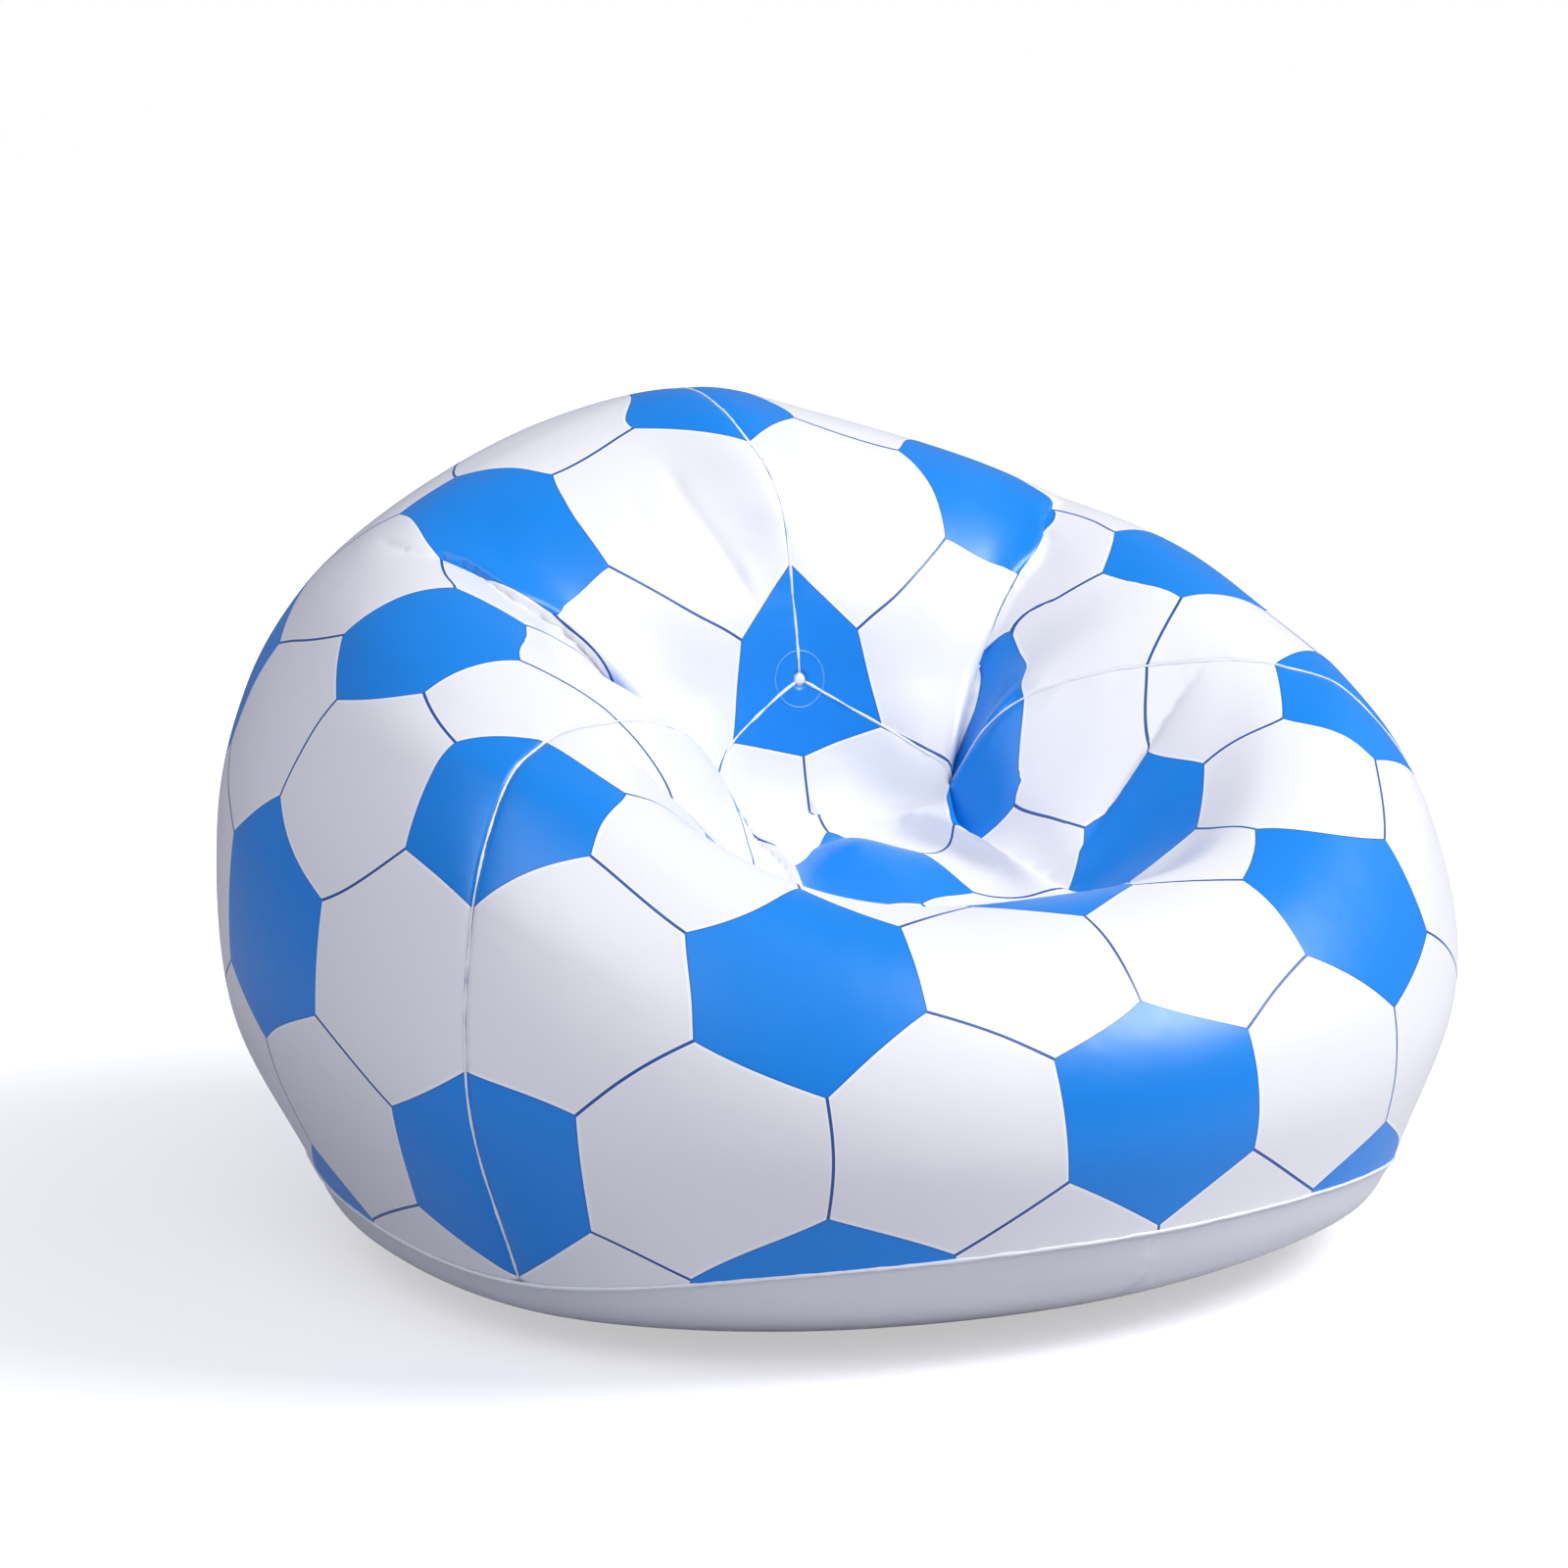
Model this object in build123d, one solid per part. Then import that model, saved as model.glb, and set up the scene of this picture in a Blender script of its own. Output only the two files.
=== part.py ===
from build123d import *

# Inflatable armchair for the garden or playroom: one sealed chamber of thin vinyl film.
# Three printed gores meet at an apex low in the backrest, are welded to each other along three
# seams, and close on a plain base panel. A tether inside pulls the apex in, which forms the seat.
# Units are millimetres. +Z is up, the sitter faces -Y, +X is the chair's left-right axis, and the
# origin is on the floor under the middle of the chamber.

import os
from math import atan2, cos, pi, radians, sin

# ---- Driving sizes: film chamber ----------------------------------------------------------
# The three outer sizes stretch the whole chamber along X, Y and Z.
WIDTH = 1063.0
DEPTH = 1014.0
HEIGHT = 731.0
FILM = 0.5                # thickness of the vinyl film
APEX_LEAN = 5.0           # degrees that the film round the apex leans back from upright
APEX_HOLE = 6.0           # radius left open where the three gores' tips are trimmed
PATCH_RADIUS = 25.0       # radius of the round patch welded inside the apex
CONTACT_RADIUS = 262.0    # radius of the flat on which the chair stands
BASE_STEPS = 3            # rows of film between the base seam and the flat

# Each section of the chamber runs from the apex to the base seam. A point is given by its turn
# about the upright line through the apex (0 degrees is the front), its reach from that line and
# its height. The left half mirrors the right half. The sections and the apex are drawn at the
# size given by DRAWN, and stretched from there to WIDTH, DEPTH and HEIGHT.
DRAWN = (1063.0, 1014.0, 731.0)
APEX = (45.0, 483.0)      # how far the apex sits behind the middle of the chamber, and its height
SECTIONS = {
    0: [(0, 4, 420), (0, 10, 382), (0, 20, 354), (0, 55, 350), (0, 105, 349), (0, 196, 311),
        (0, 257, 301), (0, 335, 330), (0, 395, 347), (0, 470, 324), (0, 530, 260),
        (0, 552, 185), (0, 536, 100)],
    30: [(82, 41, 412), (74, 62, 382), (60, 85, 352), (44, 115, 345), (36, 160, 338),
         (32, 222, 325), (31, 285, 320), (30, 350, 342), (30, 420, 373), (30, 495, 345),
         (30, 550, 270), (30, 565, 190), (31, 538, 96)],
    60: [(79, 78, 436), (68, 115, 412), (61, 141, 402), (60, 165, 440), (60, 205, 466),
         (60, 265, 484), (60, 325, 491), (60, 375, 494), (60, 428, 487), (59.7, 490, 460),
         (59, 552, 370), (58.5, 573, 225), (58.4, 506, 76)],
    90: [(84, 84, 480), (84, 130, 478), (82, 180, 480), (80, 218, 508), (80, 256, 535),
         (81, 297, 559), (84, 345, 578), (86, 392, 574), (87, 440, 547), (88, 489, 485),
         (89, 525, 380), (90, 522, 225), (90, 462, 90)],
    120: [(88, 70, 525), (93, 118, 558), (99, 175, 593), (106, 235, 626), (110, 275, 638),
          (112, 308, 641), (113, 344, 635), (114, 387, 615), (115, 436, 574), (116, 481, 500),
          (117, 508, 390), (118, 502, 228), (120, 448, 106)],
    150: [(99, 40, 556), (114, 64, 598), (128, 95, 635), (136, 125, 663), (141, 155, 685),
          (144, 190, 699), (146, 235, 703), (147, 297, 688), (148, 362, 638), (149, 422, 550),
          (150, 460, 435), (150, 464, 270), (150, 415, 90)],
    180: [(180, 8, 560), (180, 14, 600), (180, 24, 636), (180, 48, 667), (180, 84, 692),
          (180, 130, 717), (180, 190, 731), (180, 260, 714), (180, 330, 662), (180, 395, 578),
          (180, 447, 455), (180, 459, 290), (180, 402, 65)],
}
TURN_STEP = 30
GORES = {"front_gore": (-60, 60), "right_gore": (60, 180), "left_gore": (180, 300)}

# ---- Driving sizes: tether and its patches ------------------------------------------------
TETHER_WIDTH = 36.0
TETHER_BEND = 10.0        # radius at which the strap turns into its welded ends
TETHER_TOP = 15.0         # length of the strap's end on the apex patch, each side of its middle
TETHER_FOOT = 30.0        # length of the strap's end on the foot patch, each side of its middle
FOOT_Y = 190.0            # where the strap meets the base panel
FOOT_RADIUS = 42.0

# ---- Driving sizes: valve ------------------------------------------------------------------
VALVE_TURN = 165.0        # degrees from the front, on the right gore beside the back seam
VALVE_ROW = 13.4          # place along the section, counted in rows from the apex
FLANGE_RADIUS = 24.0
FLANGE_THICKNESS = 0.9
FLANGE_DEPTH = 1.2        # the film curves away over the flange, which sits this far in
HOLE_CUT = 8.0            # half the length of the tool that opens the film for the neck
NECK_OUTER = 14.0
NECK_WALL = 2.0
NECK_OUT = 3.0            # how far the neck stands out of the film
NECK_IN = 9.0             # how far the neck reaches inside
FIT = 0.3                 # running clearance between the valve's pieces
FILM_FIT = 0.4            # clearance of the neck in the film
PLUG_RIM = 13.5
PLUG_RIM_THICKNESS = 1.6
PLUG_BORE = 5.0
PLUG_LENGTH = 9.0
FLAP_RADIUS = 7.0
FLAP_THICKNESS = 0.8
FLAP_GAP = 0.1
CAP_RADIUS = 8.5
CAP_THICKNESS = 1.5
CAP_HINGE = 9.5           # distance of the cap's living hinge from the valve's middle
STOPPER_LENGTH = 2.5
STOPPER_FIT = 0.5
CAP_GAP = 0.1
TAB_WIDTH = 6.0
TAB_THICKNESS = 0.6
LUG_GAP = 0.6             # from the living hinge to the lug on the rim that carries it
LUG_INSET = 0.5
LUG_HEIGHT = 1.05

RING_ROW = len(SECTIONS[0]) + 1


# ---- The chamber's surface -----------------------------------------------------------------
def stretched(side, back, up):
    """A drawn point at the chair's own width, depth and height."""
    return Vector(side * WIDTH / DRAWN[0], back * DEPTH / DRAWN[1], up * HEIGHT / DRAWN[2])


def apex_point(turn, radius):
    """A point of the flat disc round the apex."""
    lean = radians(APEX_LEAN)
    side = radius * sin(radians(turn))
    down = radius * cos(radians(turn))
    return stretched(0, *APEX) + Vector(side, -down * sin(lean), -down * cos(lean))


def section_point(turn, row):
    """Node of the film, for a turn in whole steps and a row counted from the apex."""
    turn = (turn + 180) % 360 - 180
    if row == 0:
        return apex_point(turn, APEX_HOLE)
    if row == 1:
        return apex_point(turn, PATCH_RADIUS)
    side = -1 if turn < 0 else 1
    angle, reach, height = SECTIONS[abs(turn)][row - 2]
    return stretched(side * reach * sin(radians(angle)),
                     APEX[0] - reach * cos(radians(angle)), height)


def base_point(turn, row):
    """Node of the base panel: a quarter of an ellipse from the seam to the edge of the flat."""
    seam = section_point(turn, RING_ROW)
    around = atan2(seam.X, -seam.Y)
    flat = Vector(CONTACT_RADIUS * sin(around), -CONTACT_RADIUS * cos(around), 0)
    roll = pi / 2 * row / BASE_STEPS
    inward = seam + (flat - seam) * (1 - cos(roll))
    return Vector(inward.X, inward.Y, seam.Z * (1 - sin(roll)))


def slope(before, here, after):
    """Tangent at a node from its neighbours; at an end there is only one."""
    if before is None:
        return after - here
    if after is None:
        return here - before
    return (after - before) * 0.5


def slopes_round(grid):
    """Tangents across the sections, all the way round."""
    count = len(grid)
    return [[slope(grid[i - 1][j], grid[i][j], grid[(i + 1) % count][j])
             for j in range(len(grid[0]))] for i in range(count)]


def slopes_along(grid):
    """Tangents along each section."""
    last = len(grid[0]) - 1
    return [[slope(line[j - 1] if j else None, line[j], line[j + 1] if j < last else None)
             for j in range(last + 1)] for line in grid]


def flattened(grid, flats):
    """Tangents laid into the flat rows' planes."""
    return [[step - flats[j] * step.dot(flats[j]) if j in flats else step
             for j, step in enumerate(line)] for line in grid]


class Skin:
    """One side of the film, all the way round: nodes joined by cubic patches."""

    def __init__(self, nodes, flats):
        self.nodes = nodes
        self.flats = flats
        self.count = len(nodes)
        self.across = flattened(slopes_round(nodes), flats)
        self.along = flattened(slopes_along(nodes), flats)
        self.twist = flattened(slopes_along(self.across), flats)

    def normal(self, i, j):
        """Unit normal at a node, out of the chamber."""
        return self.along[i][j].cross(self.across[i][j]).normalized()

    def inside(self, depth, seam_row):
        """The film's other side. At the base seam both panels go straight inwards."""
        nodes = []
        for i, line in enumerate(self.nodes):
            normals = [self.flats.get(j) or self.normal(i, j) for j in range(len(line))]
            normals[seam_row] = Vector(line[seam_row].X, line[seam_row].Y, 0).normalized()
            nodes.append([node - normal * depth for node, normal in zip(line, normals)])
        return Skin(nodes, self.flats)

    def edge(self, start, end):
        """Control points of the edge between two neighbouring nodes."""
        (i, j), (m, n) = start, end
        step = self.across if j == n else self.along
        first, last = self.nodes[i][j], self.nodes[m][n]
        return [first, first + step[i][j] / 3, last - step[m][n] / 3, last]

    def patch(self, i, j):
        """Cubic face between four neighbouring nodes."""
        n = (i + 1) % self.count
        rows = []
        for a, u in ((i, 1), (n, -1)):
            edge = self.edge((a, j), (a, j + 1))
            inner = [point + lift * (u / 3) for point, lift in zip(edge, (
                self.across[a][j], self.across[a][j] + self.twist[a][j] / 3,
                self.across[a][j + 1] - self.twist[a][j + 1] / 3, self.across[a][j + 1]))]
            rows += [edge, inner] if u > 0 else [inner, edge]
        return Face.make_bezier_surface(rows)


def skins(point, rows, flats, seam_row):
    """Outer and inner side of a film whose nodes a function gives."""
    nodes = [[point(turn, row) for row in range(rows + 1)] for turn in range(0, 360, TURN_STEP)]
    outer = Skin(nodes, flats)
    return outer, outer.inside(FILM, seam_row)


def panel_faces(outer, inner, columns, rows, edge_rows, edge_columns):
    """A film panel's two sides, and the strips through its thickness along its edges."""
    count = outer.count
    faces = [skin.patch(i % count, j) for skin in (outer, inner)
             for i in columns for j in range(rows)]
    edges = [((i % count, j), ((i + 1) % count, j)) for i in columns for j in edge_rows]
    edges += [((i % count, j), (i % count, j + 1)) for i in edge_columns for j in range(rows)]
    for start, end in edges:
        strip = [skin.edge(start, end) for skin in (outer, inner)]
        faces.append(Face.make_bezier_surface(strip))
    return faces


def apex_normal():
    """The way that the disc round the apex faces."""
    lean = radians(APEX_LEAN)
    return Vector(0, -cos(lean), sin(lean))


def chamber_skins():
    flats = {0: apex_normal(), 1: apex_normal()}
    return skins(section_point, RING_ROW, flats, RING_ROW)


def gore(name):
    """One printed gore, from the apex to the base seam."""
    first, last = GORES[name]
    columns = range(first // TURN_STEP, last // TURN_STEP)
    sides = (columns[0], columns[-1] + 1)
    faces = panel_faces(*chamber_skins(), columns, RING_ROW, (0, RING_ROW), sides)
    return Solid(Shell(faces))


def flat_face(skin):
    """The level disc inside the last row of the base panel."""
    around = range(skin.count)
    edges = [Edge.make_bezier(*skin.edge((i, BASE_STEPS), ((i + 1) % skin.count, BASE_STEPS)))
             for i in around]
    return Face(Wire(edges))


def base_panel():
    """The plain panel under the chair, with the flat that it stands on."""
    outer, inner = skins(base_point, BASE_STEPS, {BASE_STEPS: Vector(0, 0, -1)}, 0)
    faces = panel_faces(outer, inner, range(outer.count), BASE_STEPS, (0,), ())
    return Solid(Shell(faces + [flat_face(outer), flat_face(inner)]))


# ---- Tether ----------------------------------------------------------------------------------
def disc(plane, radius, thickness, bore=0):
    """A round piece whose top lies in a plane."""
    with BuildPart() as piece:
        with BuildSketch(plane):
            Circle(radius)
            if bore:
                Circle(bore, mode=Mode.SUBTRACT)
        extrude(amount=-thickness)
    return piece.part.solid()


def apex_plane(depth):
    """Plane of the disc round the apex, a depth inside it, with its Z pointing out."""
    middle = stretched(0, *APEX) - apex_normal() * depth
    return Plane(origin=middle, x_dir=(1, 0, 0), z_dir=apex_normal())


def apex_patch():
    """Round reinforcement welded behind the tips of the gores."""
    return disc(apex_plane(FILM), PATCH_RADIUS, FILM)


def foot_patch():
    """Round reinforcement welded on the base panel, inside."""
    return disc(Plane(origin=(0, FOOT_Y, 2 * FILM)), FOOT_RADIUS, FILM)


def tether():
    """Strap from the apex patch to the foot patch, with a welded end on each."""
    top = apex_plane(2.5 * FILM)
    upper = top.from_local_coords((0, TETHER_TOP, 0))
    bend = top.from_local_coords((0, -TETHER_TOP, 0))
    foot = Vector(0, FOOT_Y - TETHER_FOOT, 2.5 * FILM)
    heel = Vector(0, FOOT_Y + TETHER_FOOT, 2.5 * FILM)
    with BuildPart() as piece:
        with BuildLine():
            path = FilletPolyline(upper, bend, foot, heel, radius=TETHER_BEND)
        along = (bend - upper).normalized()
        with BuildSketch(Plane(origin=upper, x_dir=(1, 0, 0), z_dir=along)):
            Rectangle(TETHER_WIDTH, FILM)
        sweep(path=path)
    return piece.part.solid()


# ---- Valve -----------------------------------------------------------------------------------
def valve_plane():
    """Plane on the film at the valve: Z points out of the chamber, X is level."""
    column = int(VALVE_TURN // TURN_STEP)
    row = int(VALVE_ROW)
    patch = chamber_skins()[0].patch(column, row)
    share = VALVE_TURN / TURN_STEP - column
    middle = patch.position_at(share, VALVE_ROW - row)
    normal = patch.normal_at(middle)
    if normal.dot(Vector(middle.X, middle.Y, 0)) < 0:
        normal = normal * -1
    level = Vector(0, 0, 1).cross(normal).normalized()
    return Plane(origin=middle, x_dir=level, z_dir=normal)


def turned(plane, outline):
    """A piece turned about the valve's axis, from an outline of (radius, height) points."""
    with BuildPart() as piece:
        with BuildSketch(Plane.XZ):
            with BuildLine():
                Polyline(*outline, close=True)
            make_face()
        revolve(axis=Axis.Z)
    return plane.location * piece.part.solid()


def on_valve(plane, length, width, thickness, start, height):
    """A small bar on the valve: it starts at a distance along X and at a height."""
    bar = Box(length, width, thickness, align=(Align.MIN, Align.CENTER, Align.MIN))
    return plane.location * (Pos(start, 0, height) * bar)


def valve_flange(plane):
    """Flange welded inside the film, with the neck that stands out of it."""
    inner = NECK_OUTER - NECK_WALL
    top = -FLANGE_DEPTH
    return turned(plane, [(inner, -NECK_IN), (NECK_OUTER, -NECK_IN),
                          (NECK_OUTER, top - FLANGE_THICKNESS),
                          (FLANGE_RADIUS, top - FLANGE_THICKNESS), (FLANGE_RADIUS, top),
                          (NECK_OUTER, top), (NECK_OUTER, NECK_OUT), (inner, NECK_OUT)])


def valve_plug(plane):
    """Large plug that pulls out to empty the chamber; its bore takes the pump."""
    body = NECK_OUTER - NECK_WALL - FIT
    top = NECK_OUT + PLUG_RIM_THICKNESS
    plug = turned(plane, [(PLUG_BORE, NECK_OUT - PLUG_LENGTH), (body, NECK_OUT - PLUG_LENGTH),
                          (body, NECK_OUT), (PLUG_RIM, NECK_OUT), (PLUG_RIM, top),
                          (PLUG_BORE, top)])
    start = CAP_HINGE + LUG_GAP
    lug = on_valve(plane, PLUG_RIM - LUG_INSET - start, TAB_WIDTH, LUG_HEIGHT, start, top)
    return (plug + lug).solid()


def valve_flap(plane):
    """Thin flap that closes the plug's bore from inside."""
    top = NECK_OUT - PLUG_LENGTH - FLAP_GAP
    return turned(plane, [(0, top - FLAP_THICKNESS), (FLAP_RADIUS, top - FLAP_THICKNESS),
                          (FLAP_RADIUS, top), (0, top)])


def valve_cap(plane):
    """Stopper cap on its living hinge at the plug's rim."""
    rim = NECK_OUT + PLUG_RIM_THICKNESS
    stopper = PLUG_BORE - STOPPER_FIT
    cap = turned(plane, [(0, rim - STOPPER_LENGTH), (stopper, rim - STOPPER_LENGTH),
                         (stopper, rim + CAP_GAP), (CAP_RADIUS, rim + CAP_GAP),
                         (CAP_RADIUS, rim + CAP_THICKNESS), (0, rim + CAP_THICKNESS)])
    start = CAP_RADIUS - 1
    tab = on_valve(plane, CAP_HINGE - start, TAB_WIDTH, TAB_THICKNESS, start,
                   rim + (CAP_THICKNESS - TAB_THICKNESS) / 2)
    return (cap + tab).solid()


# ---- Assembly --------------------------------------------------------------------------------
def build():
    plane = valve_plane()
    film_hole = disc(plane.offset(HOLE_CUT), NECK_OUTER + FILM_FIT, 2 * HOLE_CUT)
    nodes = {name: gore(name) for name in GORES}
    nodes["right_gore"] = (nodes["right_gore"] - film_hole).solid()
    nodes["base_panel"] = base_panel()
    nodes["apex_patch"] = apex_patch()
    nodes["foot_patch"] = foot_patch()
    nodes["tether"] = tether()
    nodes["valve_flange"] = valve_flange(plane)
    nodes["valve_plug"] = valve_plug(plane)
    nodes["valve_flap"] = valve_flap(plane)
    nodes["valve_cap"] = valve_cap(plane)
    for what, value in (("valve middle", plane.origin), ("valve axis", plane.z_dir),
                        ("valve level", plane.x_dir)):
        print(what, tuple(round(x, 4) for x in value))
    return nodes


os.makedirs("parts", exist_ok=True)
for node_name, piece in build().items():
    export_step(piece, f"parts/{node_name}.step")
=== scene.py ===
"""Inflatable armchair with a printed football pattern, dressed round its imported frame."""

from math import cos, pi, radians, sin

import bmesh
import bpy
import numpy as np
from mathutils import Matrix, Vector


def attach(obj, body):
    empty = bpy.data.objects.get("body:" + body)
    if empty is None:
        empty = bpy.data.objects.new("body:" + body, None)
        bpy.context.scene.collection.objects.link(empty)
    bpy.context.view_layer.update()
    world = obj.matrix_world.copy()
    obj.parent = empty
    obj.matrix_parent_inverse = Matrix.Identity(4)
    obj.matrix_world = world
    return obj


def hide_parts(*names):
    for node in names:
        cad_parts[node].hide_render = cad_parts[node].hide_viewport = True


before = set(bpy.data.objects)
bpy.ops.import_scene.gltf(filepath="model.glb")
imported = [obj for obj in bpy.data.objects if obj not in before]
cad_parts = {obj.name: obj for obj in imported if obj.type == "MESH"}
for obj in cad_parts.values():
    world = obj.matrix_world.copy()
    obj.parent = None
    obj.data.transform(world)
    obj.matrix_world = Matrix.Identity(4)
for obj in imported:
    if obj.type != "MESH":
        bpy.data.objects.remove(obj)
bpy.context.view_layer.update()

# ---- The chamber's shape in millimetres; the sitter faces -Y ------------------------------------
# It is the part's own, apart from the base seam, which lies up to 13 mm lower.
APEX_Y = 45.0
APEX_HEIGHT = 483.0
APEX_LEAN = 5.0
APEX_HOLE = 6.0
PATCH_RADIUS = 25.0
CONTACT_RADIUS = 262.0
BASE_STEPS = 3
TURN_STEP = 30
FILM = 0.5
PER_METRE = 1000          # millimetres in a metre
APEX_FACE = np.array((0, -cos(radians(APEX_LEAN)), sin(radians(APEX_LEAN))))

# Sections from the apex to the base seam: turn, reach and height of each point.
SECTIONS = {
    0: [(0, 4, 420), (0, 10, 382), (0, 20, 354), (0, 55, 350), (0, 105, 349), (0, 196, 311),
        (0, 257, 301), (0, 335, 330), (0, 395, 347), (0, 470, 324), (0, 530, 260),
        (0, 552, 185), (0, 536, 100)],
    30: [(82, 41, 412), (74, 62, 382), (60, 85, 352), (44, 115, 345), (36, 160, 338),
         (32, 222, 325), (31, 285, 320), (30, 350, 342), (30, 420, 373), (30, 495, 345),
         (30, 550, 270), (30, 565, 190), (31, 539, 92)],
    60: [(79, 78, 436), (68, 115, 412), (61, 141, 402), (60, 165, 440), (60, 205, 466),
         (60, 265, 484), (60, 325, 491), (60, 375, 494), (60, 428, 487), (59.7, 490, 460),
         (59, 552, 370), (58.5, 573, 222), (58.6, 503, 63)],
    90: [(84, 84, 480), (84, 130, 478), (82, 180, 480), (80, 218, 508), (80, 256, 535),
         (81, 297, 559), (84, 345, 578), (86, 392, 574), (87, 440, 547), (88, 489, 485),
         (89, 525, 380), (90, 522, 225), (90, 458, 77)],
    120: [(88, 70, 525), (93, 118, 558), (99, 175, 593), (106, 235, 626), (110, 275, 638),
          (112, 308, 641), (113, 344, 635), (114, 387, 615), (115, 436, 574), (116, 481, 500),
          (117, 508, 390), (118, 502, 228), (120, 446, 98)],
    150: [(99, 40, 556), (114, 64, 598), (128, 95, 635), (136, 125, 663), (141, 155, 685),
          (144, 190, 699), (146, 235, 703), (147, 297, 688), (148, 362, 638), (149, 422, 550),
          (150, 460, 435), (150, 464, 270), (150, 415, 90)],
    180: [(180, 8, 560), (180, 14, 600), (180, 24, 636), (180, 48, 667), (180, 84, 692),
          (180, 130, 717), (180, 190, 731), (180, 260, 714), (180, 330, 662), (180, 395, 578),
          (180, 447, 455), (180, 459, 290), (180, 402, 65)],
}
RING_ROW = len(SECTIONS[0]) + 1

# ---- How the print lies on the film, in sides of one hexagon ----------------------------------
# Every gore is cut from the same printed sheet: its tip is the middle of a blue cell, its
# mid-line runs along the print's second number and its edges follow SEAM_LINE.
SEAM_LINE = [(0, 0), (2.598, 1.5), (5.196, 6), (5.196, 10.05)]
# Distance of each point of a section along the seam line.
SEAM_PRINT = {
    60: [1.0, 1.55, 2.0, 3.4, 3.95, 4.85, 5.9, 6.65, 7.43, 8.2, 9.25, 10.45, 12.25],
    180: [0.75, 1.15, 1.5, 1.75, 2.05, 2.7, 3.4, 4.2, 5.2, 6.4, 7.9, 9.8, 12.25],
}
# Place in the print of each point of a section, by its turn from the front.
FRONT_PRINT = {
    0: [(0, .92), (0, 1.4), (0, 1.72), (0, 2.15), (0, 2.95), (0, 4.0), (0, 5.0), (0, 5.8),
        (0, 6.5), (0, 7.4), (0, 8.3), (0, 9.2), (0, 10.05)],
    20: [(.35, .93), (.5, 1.35), (.68, 1.7), (.8, 2.05), (.95, 2.7), (1.1, 3.6), (1.15, 4.6),
         (1.2, 5.5), (1.57, 6.5), (1.68, 7.4), (1.74, 8.45), (1.8, 9.15), (1.92, 10.05)],
    30: [(.48, .89), (.76, 1.3), (1.0, 1.58), (1.25, 1.85), (1.7, 2.4), (1.85, 3.3),
         (1.8, 4.35), (1.95, 5.4), (2.42, 6.45), (2.48, 7.1), (2.6, 8.15), (2.68, 8.95),
         (2.65, 10.05)],
    40: [(.6, .8), (1.0, 1.2), (1.3, 1.4), (1.75, 1.7), (2.42, 2.25), (2.65, 3.15),
         (2.75, 4.05), (2.95, 5.15), (3.55, 6.0), (3.3, 6.62), (3.42, 7.8), (3.45, 8.8),
         (3.35, 10.05)],
    50: [(.75, .66), (1.2, 1.0), (1.55, 1.2), (2.3, 1.75), (2.8, 2.3), (3.15, 3.2),
         (3.6, 4.1), (3.9, 4.9), (4.33, 5.5), (4.3, 6.3), (4.32, 7.5), (4.35, 8.6),
         (4.3, 10.05)],
}
SIDE_PRINT = {
    75: [(-.65, .7), (-1.15, 1.05), (-1.7, 1.4), (-2.75, 2.1), (-3.0, 2.75), (-3.15, 3.3),
         (-3.35, 3.85), (-3.45, 4.35), (-3.55, 4.95), (-3.65, 5.6), (-3.7, 6.8), (-3.8, 8.4),
         (-4.1, 10.05)],
    90: [(-.5, .9), (-.95, 1.3), (-1.35, 1.65), (-2.7, 2.52), (-2.7, 3.03), (-2.6, 3.5),
         (-2.3, 4.1), (-2.2, 4.5), (-2.22, 5.0), (-2.42, 5.98), (-2.6, 7.0), (-2.65, 8.5),
         (-2.75, 10.05)],
    96: [(-.39, .95), (-.76, 1.38), (-1.12, 1.75), (-2.4, 2.55), (-2.2, 3.0), (-1.95, 3.45),
         (-1.73, 4.1), (-1.67, 4.55), (-1.65, 5.07), (-1.85, 6.06), (-2.03, 7.06), (-2.08, 8.5),
         (-2.12, 10.05)],
    101: [(-.3, .98), (-.6, 1.42), (-.82, 2.0), (-.92, 2.42), (-1.05, 2.75), (-1.2, 3.25),
          (-1.38, 3.98), (-1.3, 4.5), (-1.27, 5.12), (-1.44, 6.09), (-1.61, 7.09), (-1.66, 8.5),
          (-1.67, 10.05)],
    105: [(-.25, 1.0), (-.5, 1.45), (-.66, 2.06), (-.7, 2.46), (-.76, 2.8), (-.85, 3.2),
          (-1.15, 3.95), (-1.1, 4.5), (-1.05, 5.15), (-1.2, 6.1), (-1.35, 7.1), (-1.4, 8.5),
          (-1.4, 10.05)],
    120: [(0, 1.1), (0, 1.55), (0, 2.0), (0, 2.45), (-.1, 2.9), (-.35, 3.35), (-.3, 3.9),
          (-.2, 4.5), (-.1, 5.2), (0, 6.1), (0, 7.1), (0, 8.5), (0, 10.05)],
    135: [(.25, 1.0), (.4, 1.45), (.5, 1.85), (.7, 2.2), (.85, 2.55), (.9, 2.95), (1.0, 3.4),
          (.95, 4.0), (.95, 4.9), (1.1, 5.9), (1.25, 7.0), (1.3, 8.4), (1.3, 10.05)],
    150: [(.5, .95), (.7, 1.25), (.9, 1.5), (1.1, 1.75), (1.33, 2.0), (1.65, 2.3), (1.55, 2.85),
          (1.75, 3.6), (2.05, 4.5), (2.35, 5.5), (2.6, 6.6), (2.65, 8.2), (2.65, 10.05)],
}
# Where the film slipped before the left half was blown up: place, reach and shift in sides.
SLIPS = [((-160, -85, 415), 55, (-0.2, 0.35)), ((-137, -57, 415), 22, (-0.3, 0.5)),
         ((-242, -190, 412), 45, (-0.25, 0.0)), ((-207, -154, 395), 35, (-0.1, -0.35)),
         ((-95, -88, 345), 45, (1.25, 0.5))]
APEX_SCALE = 69.0         # side of one hexagon near the apex, mm
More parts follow.
